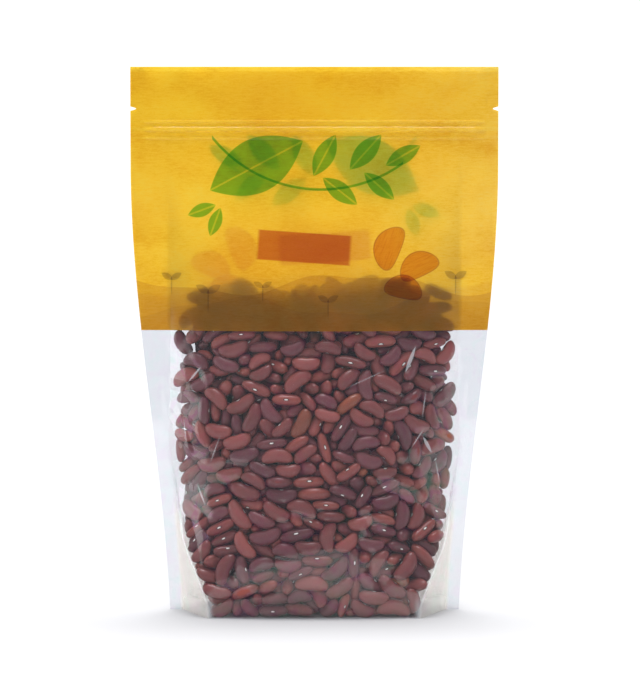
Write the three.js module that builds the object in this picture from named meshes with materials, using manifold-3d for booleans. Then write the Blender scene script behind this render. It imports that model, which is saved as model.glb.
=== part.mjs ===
// A stand-up pouch of dried kidney beans, sealed and full.
// The pouch is clear film with a printed header. It has welded side seals, a press-to-close zip, two tear notches
// and a gusset that opens into a flat foot. The belly is a core inside the film's form, with the beans that lie
// against the film fused onto it.
// Millimetres. X runs across the pouch, the front faces -Y and Z is up from the floor.

import * as THREE from "three";
import { mergeVertices } from "three/addons/utils/BufferGeometryUtils.js";
import Module from "manifold-3d";

// Driving dimensions of the pouch
const HEADER_WIDTH = 216;
const FOOT_WIDTH = 171;
const POUCH_HEIGHT = 320;
const SEAL_WIDTH = 8;
const SEAL_THICKNESS = 0.9;
const NARROWING_HEIGHT = 262; // above this the two side edges run straight up
const EDGE_LEAN = 0.04; // how far a side edge leans outwards for each millimetre, at the floor
const PRINT_EDGE_HEIGHT = 164; // the printed film ends here and the clear window begins

// Half the depth of the pouch along its middle, from the floor to the top edge
const DEPTH_STATIONS = [
  [0, 34.5],
  [18, 37],
  [40, 36.2],
  [100, 31.5],
  [150, 25],
  [196, 16.5],
  [240, 6.5],
  [270, 1.5],
  [280, 0.5],
  [292, 0.3],
  [POUCH_HEIGHT, 0],
];

// Half the width between the gusset's two curved seals, which meet the side seals at the last station
const GUSSET_SEAL_STATIONS = [
  [0, 61],
  [8, 62],
  [24, 68],
  [42, 76],
  [58, 79.5],
  [76, 82.3],
  [95, 86],
];

// Outside the curved seals flat flaps of film run to the side seals, from this share of the middle's depth
const FLAP_DEPTH_STATIONS = [
  [0, 0.97],
  [24, 0.78],
  [42, 0.5],
  [58, 0.22],
  [76, 0.05],
  [95, 0],
];
const LEAST_FLAP = 3; // the flaps are drawn at least this wide
const BELLY_FULLNESS = 2.6; // 2 would bow the film between the seals like a parabola

// Half the width that the beans reach
const BEAN_REACH_STATIONS = [
  [0, 60],
  [8, 61],
  [42, 75],
  [64, 78],
  [111, 82],
  [PRINT_EDGE_HEIGHT, 82],
];

// Driving dimensions of a bean
const BEAN_LENGTH = 17;
const BEAN_WIDTH = 8.8;
const BEAN_THICKNESS = 6.8;
const BEAN_BEND = 0.7; // how far the ends are bent towards the scar
const BEAN_BLUNTNESS = 0.78; // below 1 the ends are fuller than an ellipse's
const BEAN_SIZE_SPREAD = 0.12;
const BEAN_TILT = 0.3; // largest tilt out of the film, in radians
const BEAN_ROUNDS = 4;
const BEAN_SIDES = 5;
const BEAN_GAP = 0.5;
const BEAN_TRIES = 9000; // enough for beans to cover the window of one face
const BEAN_FLOOR_GAP = 0.8;
const LOWEST_BEAN = 7;
const HIGHEST_BEAN = PRINT_EDGE_HEIGHT - 5;
const CORE_INSET = BEAN_THICKNESS * 0.55; // how far the core lies inside the film behind the beans
const INSET_FADE = 9; // over which the core comes back out to the film

// Zip and tear notches
const ZIP_HEIGHTS = [288, 283.5, 278.5];
const ZIP_RIDGE_RADII = [0.9, 1.5, 0.9];
const ZIP_RELIEF = 0.7; // share of its radius that a ridge stands proud of the film
const ZIP_SIDES = 8;
const NOTCH_HEIGHT = 295.5;
const NOTCH_DEPTH = 3.4;
const NOTCH_OPENING = 2.6;

// The grid that the core is drawn on
const BELLY_COLUMNS = 12;
const COLUMN_CROWDING = 0.35; // 0 spaces the belly's columns evenly and 1 crowds them towards its sides
const ROW_HEIGHTS = [
  0, 6, 24, 45, 72, 102, 132, 156, PRINT_EDGE_HEIGHT, 180, 200, 222, 245, 260, 271, 280, 292, POUCH_HEIGHT,
];

const { clamp, lerp, smoothstep } = THREE.MathUtils;

// A smooth curve through [height, value] stations
function along(stations, height) {
  const last = stations.length - 1;
  const at = clamp(height, stations[0][0], stations[last][0]);
  let i = 0;
  while (i < last - 1 && at > stations[i + 1][0]) i += 1;
  const slope = (k) => {
    const a = stations[Math.max(k - 1, 0)];
    const b = stations[Math.min(k + 1, last)];
    return (b[1] - a[1]) / (b[0] - a[0]);
  };
  const [z0, v0] = stations[i];
  const [z1, v1] = stations[i + 1];
  const span = z1 - z0;
  const t = (at - z0) / span;
  const ease = t * t * (3 - 2 * t);
  const leave = t * (1 - t) ** 2 * span * slope(i);
  const arrive = t * t * (t - 1) * span * slope(i + 1);
  return v0 + (v1 - v0) * ease + leave + arrive;
}

// From the middle of the pouch to its side edge
function halfWidth(z) {
  const t = clamp(z / NARROWING_HEIGHT, 0, 1);
  const rise = ((HEADER_WIDTH - FOOT_WIDTH) / 2) * t * t * (3 - 2 * t);
  return FOOT_WIDTH / 2 + rise + EDGE_LEAN * NARROWING_HEIGHT * t * (1 - t) ** 2;
}

// From the middle of the pouch to the gusset's curved seal, or to the side seal above it
function gussetSeal(z) {
  return Math.min(along(GUSSET_SEAL_STATIONS, z), halfWidth(z) - SEAL_WIDTH);
}

// From the middle plane out to the film
function filmDepth(x, z) {
  const seal = gussetSeal(z);
  const inner = halfWidth(z) - SEAL_WIDTH;
  const flapShare = along(FLAP_DEPTH_STATIONS, z);
  const belly = (1 - flapShare) * (1 - Math.min(Math.abs(x) / seal, 1) ** BELLY_FULLNESS);
  const flap = flapShare * clamp((inner - Math.abs(x)) / Math.max(inner - seal, LEAST_FLAP), 0, 1);
  return SEAL_THICKNESS / 2 + along(DEPTH_STATIONS, z) * (belly + flap);
}

// The outward direction of the front film
function filmNormal(x, z) {
  const step = 1;
  const slopeX = (filmDepth(x + step, z) - filmDepth(x - step, z)) / (2 * step);
  const slopeZ = (filmDepth(x, z + step) - filmDepth(x, z - step)) / (2 * step);
  return new THREE.Vector3(-slopeX, -1, -slopeZ).normalize();
}

// The core's own surface: the film's, taken in where beans cover it
function coreDepth(x, z) {
  const reach = along(BEAN_REACH_STATIONS, z);
  const fromSide = smoothstep(reach - Math.abs(x), -INSET_FADE / 2, INSET_FADE / 2);
  const fromPrint = 1 - smoothstep(z, HIGHEST_BEAN, PRINT_EDGE_HEIGHT);
  const fromFloor = smoothstep(z, 0, LOWEST_BEAN);
  const depth = filmDepth(x, z);
  return Math.max(depth - CORE_INSET * fromSide * fromPrint * fromFloor, Math.min(depth, SEAL_THICKNESS / 2));
}

// A repeatable draw between 0 and 1
function seededDraw(seed) {
  let state = seed;
  return () => {
    state = (state * 1664525 + 1013904223) % 4294967296;
    return state / 4294967296;
  };
}

const wasm = await Module();
wasm.setup();

function toSolid(geometry) {
  const bare = geometry.clone();
  bare.deleteAttribute("normal");
  bare.deleteAttribute("uv");
  const merged = mergeVertices(bare, 1e-4);
  return new wasm.Manifold(
    new wasm.Mesh({
      numProp: 3,
      vertProperties: new Float32Array(merged.attributes.position.array),
      triVerts: new Uint32Array(merged.index.array),
    }),
  );
}

function toGeometry(solid) {
  const { vertProperties, triVerts } = solid.getMesh();
  const geometry = new THREE.BufferGeometry();
  geometry.setAttribute("position", new THREE.BufferAttribute(vertProperties, 3));
  geometry.setIndex(new THREE.BufferAttribute(triVerts, 1));
  geometry.computeVertexNormals();
  return geometry;
}

function moveVertices(geometry, move) {
  const position = geometry.attributes.position;
  const point = new THREE.Vector3();
  for (let i = 0; i < position.count; i += 1) {
    point.fromBufferAttribute(position, i);
    move(point);
    position.setXYZ(i, point.x, point.y, point.z);
  }
  return geometry;
}

// A box whose grid is spread over the pouch's front and back: a column of side seal and one of corner flap
// on either side, then the belly's
function coreGeometry() {
  const columns = BELLY_COLUMNS + 4;
  const rows = ROW_HEIGHTS.length - 1;
  const box = new THREE.BoxGeometry(columns, 2, rows, columns, 1, rows);
  return moveVertices(box, (p) => {
    const z = ROW_HEIGHTS[Math.round(p.z + rows / 2)];
    const column = Math.round(p.x + columns / 2);
    const edge = halfWidth(z);
    const inner = edge - SEAL_WIDTH;
    const belly = Math.min(gussetSeal(z), inner - LEAST_FLAP);
    const share = clamp((column - 2) / BELLY_COLUMNS, 0, 1) * 2 - 1;
    let x = belly * lerp(share, Math.sin((share * Math.PI) / 2), COLUMN_CROWDING);
    if (column < 2) x = column === 0 ? -edge : -inner;
    if (column > columns - 2) x = column === columns ? edge : inner;
    p.set(x, Math.sign(p.y) * coreDepth(x, z), z);
  });
}

// A kidney bean: a round stretched along X, flat along Y and bent towards its scar on the -Z side.
// Half a side's turn puts one flat side of the round towards the film.
function beanGeometry(size) {
  const halfTurn = Math.PI / BEAN_SIDES;
  const round = new THREE.SphereGeometry(1, BEAN_SIDES, BEAN_ROUNDS).rotateY(halfTurn);
  return moveVertices(round, (p) => {
    const alongLength = p.y;
    const blunt = Math.sign(alongLength) * Math.abs(alongLength) ** BEAN_BLUNTNESS;
    const bend = BEAN_BEND * (1 - 2 * alongLength * alongLength);
    p.set(
      (blunt * BEAN_LENGTH * size) / 2,
      (p.x * BEAN_THICKNESS * size) / (2 * Math.cos(halfTurn)),
      ((p.z * BEAN_WIDTH) / 2 + bend) * size,
    );
  });
}

// Three circles that cover a bean seen from the front, for keeping beans apart
function footprint(bean) {
  const radius = (BEAN_WIDTH * bean.size) / 2;
  const offset = (BEAN_LENGTH * bean.size) / 2 - radius;
  return [-offset, 0, offset].map((s) => ({
    x: bean.x + s * Math.cos(bean.turn),
    z: bean.z + s * Math.sin(bean.turn),
    radius,
  }));
}

function clashes(circles, others) {
  return circles.some((a) =>
    others.some((b) => Math.hypot(a.x - b.x, a.z - b.z) < a.radius + b.radius - BEAN_GAP),
  );
}

// Beans thrown at the window one by one, the largest first, each kept where it has room
function scatterBeans() {
  const draw = seededDraw(7);
  const kept = [];
  const taken = [];
  for (let i = 0; i < BEAN_TRIES; i += 1) {
    const bean = {
      z: lerp(LOWEST_BEAN, HIGHEST_BEAN, draw()),
      turn: draw() * Math.PI,
      tilt: (draw() * 2 - 1) * BEAN_TILT,
      size: 1 + BEAN_SIZE_SPREAD * (1 - (2 * i) / BEAN_TRIES),
    };
    const halfLength = (BEAN_LENGTH * bean.size) / 2;
    const overhang = Math.abs(Math.cos(bean.turn)) * (halfLength - BEAN_WIDTH / 2) + BEAN_WIDTH / 2;
    const drop = Math.abs(Math.sin(bean.turn)) * (halfLength - BEAN_WIDTH / 2) + BEAN_WIDTH / 2;
    const reach = along(BEAN_REACH_STATIONS, bean.z) - overhang;
    bean.x = (draw() * 2 - 1) * reach;
    const circles = footprint(bean);
    const tooLow = bean.z - drop < BEAN_FLOOR_GAP;
    const tooHigh = bean.z + drop > PRINT_EDGE_HEIGHT;
    if (!tooLow && !tooHigh && !clashes(circles, taken)) {
      kept.push(bean);
      taken.push(...circles);
    }
  }
  return kept;
}

// A bean turned to lie against the inside of the front film
function placedBean(bean) {
  const outward = filmNormal(bean.x, bean.z);
  const upright = new THREE.Vector3(0, 0, 1);
  const side = new THREE.Vector3().crossVectors(outward, upright).normalize().negate();
  const up = new THREE.Vector3().crossVectors(side, outward);
  const lie = new THREE.Matrix4().makeBasis(side, outward.clone().negate(), up);
  const turn = new THREE.Matrix4().makeRotationY(-bean.turn);
  const tilt = new THREE.Matrix4().makeRotationX(bean.tilt);
  const inward = (BEAN_THICKNESS * bean.size) / 2;
  const surface = new THREE.Vector3(bean.x, -filmDepth(bean.x, bean.z), bean.z);
  const centre = surface.addScaledVector(outward, -inward);
  const place = new THREE.Matrix4().setPosition(centre);
  const matrix = place.multiply(lie).multiply(turn).multiply(tilt);
  return beanGeometry(bean.size).applyMatrix4(matrix);
}

// One ridge of the zip, pressed through the header and showing on both faces
function zipRidge(height, radius) {
  const length = 2 * (halfWidth(height) - SEAL_WIDTH);
  const ridge = new THREE.CylinderGeometry(radius, radius, length, ZIP_SIDES);
  ridge.rotateZ(Math.PI / 2);
  ridge.scale(1, (filmDepth(0, height) + radius * ZIP_RELIEF) / radius, 1);
  return ridge.translate(0, 0, height);
}

// A tear notch: a wedge with its point inwards
function tearNotch(side) {
  const wedge = new THREE.Shape();
  wedge.moveTo(1, -NOTCH_OPENING / 2);
  wedge.lineTo(1, NOTCH_OPENING / 2);
  wedge.lineTo(-NOTCH_DEPTH * 0.55, NOTCH_OPENING / 2);
  wedge.lineTo(-NOTCH_DEPTH, 0);
  wedge.lineTo(-NOTCH_DEPTH * 0.55, -NOTCH_OPENING / 2);
  const depth = 4 * SEAL_THICKNESS;
  const cutter = new THREE.ExtrudeGeometry(wedge, { depth, bevelEnabled: false });
  cutter.translate(0, 0, -depth / 2);
  cutter.rotateX(Math.PI / 2);
  if (side < 0) cutter.rotateZ(Math.PI);
  return cutter.translate(side * halfWidth(NOTCH_HEIGHT), 0, NOTCH_HEIGHT);
}

function pouchSolid() {
  let solid = toSolid(coreGeometry());
  for (const bean of scatterBeans()) {
    const front = placedBean(bean);
    const back = front.clone().rotateZ(Math.PI);
    solid = solid.add(toSolid(front)).add(toSolid(back));
  }
  ZIP_HEIGHTS.forEach((height, i) => {
    solid = solid.add(toSolid(zipRidge(height, ZIP_RIDGE_RADII[i])));
  });
  for (const side of [-1, 1]) solid = solid.subtract(toSolid(tearNotch(side)));
  return solid;
}

const filmAndBeans = new THREE.MeshStandardMaterial({ color: 0x7a4a44, roughness: 0.35, metalness: 0 });

const pouch = new THREE.Mesh(toGeometry(pouchSolid()), filmAndBeans);
pouch.name = "pouch";

const group = new THREE.Group();
group.add(pouch);

export default group;
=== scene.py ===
"""The looks of a stand-up pouch of dried kidney beans: clear film with a printed header, over loose beans.

Sizes are in millimetres and become metres by MM when a mesh is made.
The front faces -Y and Z is up from the floor.
"""
import math

import bpy
import numpy as np
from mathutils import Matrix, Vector


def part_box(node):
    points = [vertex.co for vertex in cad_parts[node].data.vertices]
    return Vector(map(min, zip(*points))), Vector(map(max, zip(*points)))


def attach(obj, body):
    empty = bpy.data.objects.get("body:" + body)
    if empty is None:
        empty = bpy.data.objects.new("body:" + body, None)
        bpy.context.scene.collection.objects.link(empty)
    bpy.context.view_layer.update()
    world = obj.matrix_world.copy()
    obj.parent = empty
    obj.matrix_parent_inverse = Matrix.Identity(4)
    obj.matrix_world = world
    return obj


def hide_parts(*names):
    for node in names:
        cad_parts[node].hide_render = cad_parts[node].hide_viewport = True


MM = 0.001

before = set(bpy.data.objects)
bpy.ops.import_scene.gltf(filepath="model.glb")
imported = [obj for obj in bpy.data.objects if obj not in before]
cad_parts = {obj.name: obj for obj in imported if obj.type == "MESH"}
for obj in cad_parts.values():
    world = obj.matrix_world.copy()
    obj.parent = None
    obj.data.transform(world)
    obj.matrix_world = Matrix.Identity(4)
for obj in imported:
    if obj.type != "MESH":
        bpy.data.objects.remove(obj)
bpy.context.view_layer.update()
low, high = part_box("pouch")

# The pouch's form, as in the solid
HEADER_WIDTH = (high.x - low.x) / MM
POUCH_HEIGHT = (high.z - low.z) / MM
FOOT_WIDTH = 171.0
SEAL_WIDTH = 8.0
SEAL_THICKNESS = 0.9
NARROWING_HEIGHT = 262.0
EDGE_LEAN = 0.04
PRINT_EDGE_HEIGHT = 165.5
DEPTH_STATIONS = (
    (0, 34.5), (18, 37), (40, 36.2), (100, 31.5), (150, 25), (196, 16.5),
    (240, 6.5), (270, 1.5), (280, 0.5), (292, 0.3), (POUCH_HEIGHT, 0),
)
GUSSET_SEAL_STATIONS = ((0, 61), (8, 62), (24, 68), (42, 76), (58, 79.5), (76, 82.3), (95, 86))
FLAP_DEPTH_STATIONS = ((0, 0.97), (24, 0.78), (42, 0.5), (58, 0.22), (76, 0.05), (95, 0))
BELLY_FULLNESS = 2.6
# the flaps beside the gusset's seals are drawn at least this wide
LEAST_FLAP = 3.0
TOP_SEAL = 2.7
NOTCH_HEIGHT = 295.5
NOTCH_DEPTH = 3.4
NOTCH_OPENING = 2.6
ZIP_HEIGHTS = (288.0, 283.5, 278.5)
ZIP_RIDGE_RADII = (0.9, 1.5, 0.9)

# Half the width that the gusset's curved seals leave for the beans
REACH_STATIONS = ((0, 60), (8, 61), (42, 75), (64, 78), (111, 84), (164, 89), (240, 97))

# Beans. Those that are neither red nor dark are brown. FLAT_SHARE of those at the film lie flat on it.
BEAN_COUNT = 1580
RED_SHARE = 0.6
DARK_SHARE = 0.375
SIZE_RANGE = (0.86, 1.11)
STRETCH_RANGE = (0.92, 1.1)
BEAN_LENGTH = 17.0
BEAN_WIDTH = 8.8
BEAN_THICKNESS = 6.8
BEAN_BEND = 0.75
BEND_SPREAD = 0.45
FLAT_SHARE = 0.7
FLOOR_GAP = 0.6
FILM_GAP = 0.7


def hermite(stations, at):
    """A smooth curve through (place, value) stations."""
    place = np.array([s[0] for s in stations], float)
    value = np.array([s[1] for s in stations], float)
    slope = np.empty(len(place))
    slope[1:-1] = (value[2:] - value[:-2]) / (place[2:] - place[:-2])
    slope[0] = (value[1] - value[0]) / (place[1] - place[0])
    slope[-1] = (value[-1] - value[-2]) / (place[-1] - place[-2])
    at = np.clip(at, place[0], place[-1])
    i = np.clip(np.searchsorted(place, at, side="left") - 1, 0, len(place) - 2)
    span = place[i + 1] - place[i]
    t = (at - place[i]) / span
    ease = t * t * (3 - 2 * t)
    leave = t * (1 - t) ** 2 * span * slope[i]
    arrive = t * t * (t - 1) * span * slope[i + 1]
    return value[i] + (value[i + 1] - value[i]) * ease + leave + arrive


def smooth(t):
    t = np.clip(t, 0, 1)
    return t * t * (3 - 2 * t)


def half_width(z):
    t = np.clip(np.asarray(z, float) / NARROWING_HEIGHT, 0, 1)
    rise = (HEADER_WIDTH - FOOT_WIDTH) / 2 * t * t * (3 - 2 * t)
    return FOOT_WIDTH / 2 + rise + EDGE_LEAN * NARROWING_HEIGHT * t * (1 - t) ** 2


def gusset_seal(z):
    """From the middle to the gusset's curved seal, or to the side seal above it."""
    return np.minimum(hermite(GUSSET_SEAL_STATIONS, z), half_width(z) - SEAL_WIDTH)


def film_depth(x, z):
    """From the middle plane out to the film."""
    seal = gusset_seal(z)
    inner = half_width(z) - SEAL_WIDTH
    flap_share = hermite(FLAP_DEPTH_STATIONS, z)
    belly = (1 - flap_share) * (1 - np.minimum(np.abs(x) / seal, 1) ** BELLY_FULLNESS)
    flap = flap_share * np.clip((inner - np.abs(x)) / np.maximum(inner - seal, LEAST_FLAP), 0, 1)
    return SEAL_THICKNESS / 2 + hermite(DEPTH_STATIONS, z) * (belly + flap)


# The form's depth on a 1 mm table just past the pouch's size, which the packing reads many times
TABLE_X = np.arange(0, 113.0)
TABLE_Z = np.arange(-4.0, 331.0)
DEPTH_TABLE = film_depth(TABLE_X[:, None], TABLE_Z[None, :])


def depth_and_slope(x, z):
    u = np.clip(np.abs(x), 0, len(TABLE_X) - 1.001)
    w = np.clip(z - TABLE_Z[0], 0, len(TABLE_Z) - 1.001)
    i, j = u.astype(int), w.astype(int)
    fu, fw = u - i, w - j
    a, b = DEPTH_TABLE[i, j], DEPTH_TABLE[i + 1, j]
    c, d = DEPTH_TABLE[i, j + 1], DEPTH_TABLE[i + 1, j + 1]
    depth = (a * (1 - fu) + b * fu) * (1 - fw) + (c * (1 - fu) + d * fu) * fw
    slope_x = ((b - a) * (1 - fw) + (d - c) * fw) * np.sign(x)
    slope_z = (c - a) * (1 - fu) + (d - b) * fu
    return depth, slope_x, slope_z


# Packing of the beans. Each bean is six balls held rigidly; overlaps push beans apart and turn them.
# They start small at random places below START_TOP, grow, settle, and at the end only ease apart.
START_SCALE = 0.5
START_BOX = (92.0, 38.0)
START_TOP = 192.0
START_BOTTOM = 4.0
START_FILM_GAP = 3.0
START_SEAL_GAP = 4.0
GROW_STEPS = 220
SETTLE_STEPS = 260
EASE_STEPS = 160
# drops and turns are for one step
GROW_DROP = 0.02
SETTLE_DROP = 0.01
GROW_TURN = 0.04
SETTLE_TURN = 0.02
# a bean with many contacts moves by less than their sum
RELAXATION = 1.6
CONTACT_SHARE = 0.75
# pairs are listed with this much room between them, and again when a ball has moved by a share of it
LIST_SKIN = 2.0
LIST_SHARE = 0.45
LID_HEIGHT = 215.0
# beans nearer to the film than this turn to lie along it
SKIN_REACH = 9.0
SKIN_FADE = 3.0
LEVELLING = 0.14
# one over the moments about a bean's long, thin and wide axes, for a mass of one
INVERSE_INERTIA = np.array([1 / 6.5, 1 / 21.0, 1 / 20.0])
# the size of the end balls against the others, and where those stand along the bean
END_BALL = 0.95
MIDDLE_BALLS = 0.36
BALLS_PER_BEAN = 6


def ball_places():
    """Centres and radii of the six balls of an average bean, long axis along X, thin axis along Y."""
    radius = BEAN_THICKNESS / 2
    end = BEAN_LENGTH / 2 - radius * END_BALL
    middle = end * MIDDLE_BALLS
    offset = BEAN_WIDTH / 2 - radius
    places = [(side * end, 0, -BEAN_BEND * 0.6) for side in (-1, 1)]
    places += [(side * middle, 0, row * offset + BEAN_BEND * 0.35) for side in (-1, 1) for row in (-1, 1)]
    return np.array(places, float), np.array([radius * END_BALL] * 2 + [radius] * 4)


def close_pairs(place, radius, owner):
    """Pairs of balls of different beans that are close, found on a grid of cells."""
    cell = 2 * radius.max() + LIST_SKIN
    ijk = np.floor((place - place.min(0)) / cell).astype(np.int64) + 1
    ny, nz = ijk[:, 1].max() + 2, ijk[:, 2].max() + 2
    key = (ijk[:, 0] * ny + ijk[:, 1]) * nz + ijk[:, 2]
    order = np.argsort(key, kind="stable")
    sorted_key = key[order]
    index = np.arange(len(place))
    firsts, seconds = [], []
    for dx in (-1, 0, 1):
        for dy in (-1, 0, 1):
            base = sorted_key + (dx * ny + dy) * nz
            start = np.searchsorted(sorted_key, base - 1, side="left")
            stop = np.searchsorted(sorted_key, base + 1, side="right")
            count = stop - start
            first = np.repeat(index, count)
            skip = np.concatenate([[0], np.cumsum(count)[:-1]])
            second = np.arange(count.sum()) + np.repeat(start - skip, count)
            ahead = first < second
            firsts.append(order[first[ahead]])
            seconds.append(order[second[ahead]])
    a, b = np.concatenate(firsts), np.concatenate(seconds)
    apart = owner[a] != owner[b]
    a, b = a[apart], b[apart]
    gap = place[a] - place[b]
    near = (gap * gap).sum(1) < (radius[a] + radius[b] + LIST_SKIN) ** 2
    return a[near], b[near]


def turned(frames, spin):
    """The beans' frames, each turned by a small rotation vector."""
    q = np.concatenate([np.ones((len(frames), 1)), spin / 2], 1)
    q /= np.sqrt((q * q).sum(1))[:, None]
    w, x, y, z = q.T
    turn = np.empty((len(frames), 3, 3))
    turn[:, 0] = np.stack([1 - 2 * (y * y + z * z), 2 * (x * y - w * z), 2 * (x * z + w * y)], 1)
    turn[:, 1] = np.stack([2 * (x * y + w * z), 1 - 2 * (x * x + z * z), 2 * (y * z - w * x)], 1)
    turn[:, 2] = np.stack([2 * (x * z - w * y), 2 * (y * z + w * x), 1 - 2 * (x * x + y * y)], 1)
    return turn @ frames


def wall_contacts(place, radius):
    """The balls that cross the film, the gusset's seals, the floor or the lid.

    Gives their numbers, how far they cross, and the normals that point inwards.
    """
    depth, slope_x, slope_z = depth_and_slope(place[:, 0], place[:, 2])
    lean = 1 / np.sqrt(1 + slope_x ** 2 + slope_z ** 2)
    side = np.where(place[:, 1] >= 0, 1.0, -1.0)
    gap = (depth - np.abs(place[:, 1])) * lean - radius - FILM_GAP
    film = np.nonzero(gap < 0)[0]
    film_normal = np.stack([slope_x, -side, slope_z], 1)[film] * lean[film, None]
    reach = np.abs(place[:, 0]) - hermite(REACH_STATIONS, place[:, 2]) + radius
    seal = np.nonzero(reach > 0)[0]
    seal_normal = np.stack([-np.sign(place[seal, 0]), 0 * place[seal, 0], 0 * place[seal, 0]], 1)
    sunk = FLOOR_GAP + radius - place[:, 2]
    floor = np.nonzero(sunk > 0)[0]
    risen = place[:, 2] + radius - LID_HEIGHT
    lid = np.nonzero(risen > 0)[0]
    return (
        np.concatenate([film, seal, floor, lid]),
        np.concatenate([-gap[film], reach[seal], sunk[floor], risen[lid]]),
        np.concatenate([film_normal, seal_normal, np.tile([0.0, 0, 1], (len(floor), 1)),
                        np.tile([0.0, 0, -1], (len(lid), 1))]),
    )


def lie_against_film(centres, frames, flat_side, strength):
    """Small turns that lay the beans next to the film along it, and level all the beans.

    Some lie flat against the film, the others on edge.
    """
    depth, slope_x, slope_z = depth_and_slope(centres[:, 0], centres[:, 2])
    side = np.where(centres[:, 1] >= 0, 1.0, -1.0)
    lean = 1 / np.sqrt(1 + slope_x ** 2 + slope_z ** 2)
    outward = np.stack([-slope_x, side, -slope_z], 1) * lean[:, None]
    near = smooth((SKIN_REACH - (depth - np.abs(centres[:, 1])) * lean) / SKIN_FADE)
    long_axis = frames[:, :, 0]
    off = (long_axis * outward).sum(1)
    spin = (strength * off * near)[:, None] * np.cross(outward, long_axis)
    facing = np.where(flat_side[:, None], frames[:, :, 1], frames[:, :, 2])
    cosine = (facing * outward).sum(1)
    spin += (strength * cosine * near)[:, None] * np.cross(facing, outward)
    spin += (strength * LEVELLING * long_axis[:, 2])[:, None] * np.cross([0.0, 0.0, 1.0], long_axis)
    return spin


def start_places(draw):
    """Random places inside the form for all the beans."""
    places = []
    x, y = START_BOX
    while len(places) < BEAN_COUNT:
        p = draw.uniform([-x, -y, START_BOTTOM], [x, y, START_TOP])
        in_film = abs(p[1]) < film_depth(p[0], p[2]) - START_FILM_GAP
        if in_film and abs(p[0]) < hermite(REACH_STATIONS, p[2]) - START_SEAL_GAP:
            places.append(p)
    return np.array(places)


def pack_beans():
    """Beans grown from half size among each other and let down gently.

    Gives their centres, frames, sizes and stretches, and the places and radii of their balls.
    """
    draw = np.random.default_rng(3)
    rest, ball_radius = ball_places()
    size = draw.uniform(*SIZE_RANGE, BEAN_COUNT)
    stretch = draw.uniform(*STRETCH_RANGE, BEAN_COUNT)
    rest = rest[None] * size[:, None, None]
    rest[:, :, 0] *= stretch[:, None]
    rest -= rest.mean(1, keepdims=True)
    radius = ball_radius[None] * size[:, None]
    centres = start_places(draw)
    frames = turned(np.repeat(np.eye(3)[None], BEAN_COUNT, 0), draw.normal(size=(BEAN_COUNT, 3)) * 4)
    flat_side = draw.uniform(size=BEAN_COUNT) < FLAT_SHARE
    owner = np.repeat(np.arange(BEAN_COUNT), BALLS_PER_BEAN)
    listed = None

    def turning(bean, arm, normal, scale):
        torque = np.cross(arm, normal)
        inverse = INVERSE_INERTIA / (size[bean] * scale)[:, None] ** 2
        local = np.matmul(torque[:, None, :], frames[bean])[:, 0] * inverse
        spin = np.matmul(frames[bean], local[:, :, None])[:, :, 0]
        return spin, (torque * spin).sum(1)

    def gather(weights, bean):
        return np.stack([np.bincount(bean, weights[:, k], BEAN_COUNT) for k in range(3)], 1)

    share_run = 1.0
    grow, settle, ease = (int(n * share_run) for n in (GROW_STEPS, SETTLE_STEPS, EASE_STEPS))
    for step in range(grow + settle + ease):
        scale = START_SCALE + (1 - START_SCALE) * min(1.0, (step + 1) / grow)
        if step < grow:
            centres[:, 2] -= GROW_DROP
        elif step < grow + settle:
            centres[:, 2] -= SETTLE_DROP
        if step < grow + settle:
            strength = GROW_TURN if step < grow else SETTLE_TURN
            frames = turned(frames, lie_against_film(centres, frames, flat_side, strength))
        radii = (radius * scale).ravel()
        arm = np.matmul(rest * scale, frames.transpose(0, 2, 1))
        place = (centres[:, None] + arm).reshape(-1, 3)
        arm = arm.reshape(-1, 3)
        if listed is None or np.abs(place - listed).max() > LIST_SHARE * LIST_SKIN:
            pair_a, pair_b = close_pairs(place, radii, owner)
            listed = place.copy()
        gap = place[pair_a] - place[pair_b]
        distance = np.sqrt((gap * gap).sum(1)) + 1e-9
        overlap = radii[pair_a] + radii[pair_b] - distance
        hit = overlap > 0
        a, b, overlap = pair_a[hit], pair_b[hit], overlap[hit]
        normal = gap[hit] / distance[hit][:, None]
        wall, wall_overlap, wall_normal = wall_contacts(place, radii)
        bean_a, bean_b, bean_w = owner[a], owner[b], owner[wall]
        spin_a, ease_a = turning(bean_a, arm[a], normal, scale)
        spin_b, ease_b = turning(bean_b, arm[b], normal, scale)
        spin_w, ease_w = turning(bean_w, arm[wall], wall_normal, scale)
        push = (overlap / (2 + ease_a + ease_b))[:, None]
        wall_push = (wall_overlap / (1 + ease_w))[:, None]
        shift = gather(push * normal, bean_a) - gather(push * normal, bean_b)
        shift += gather(wall_push * wall_normal, bean_w)
        spin = gather(push * spin_a, bean_a) - gather(push * spin_b, bean_b)
        spin += gather(wall_push * spin_w, bean_w)
        touches = sum(np.bincount(who, minlength=BEAN_COUNT) for who in (bean_a, bean_b, bean_w))
        share = (RELAXATION / np.maximum(touches, RELAXATION) ** CONTACT_SHARE)[:, None]
        centres = centres + shift * share
        frames = turned(frames, spin * share)
    return centres, frames, size, stretch, place, radii


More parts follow.
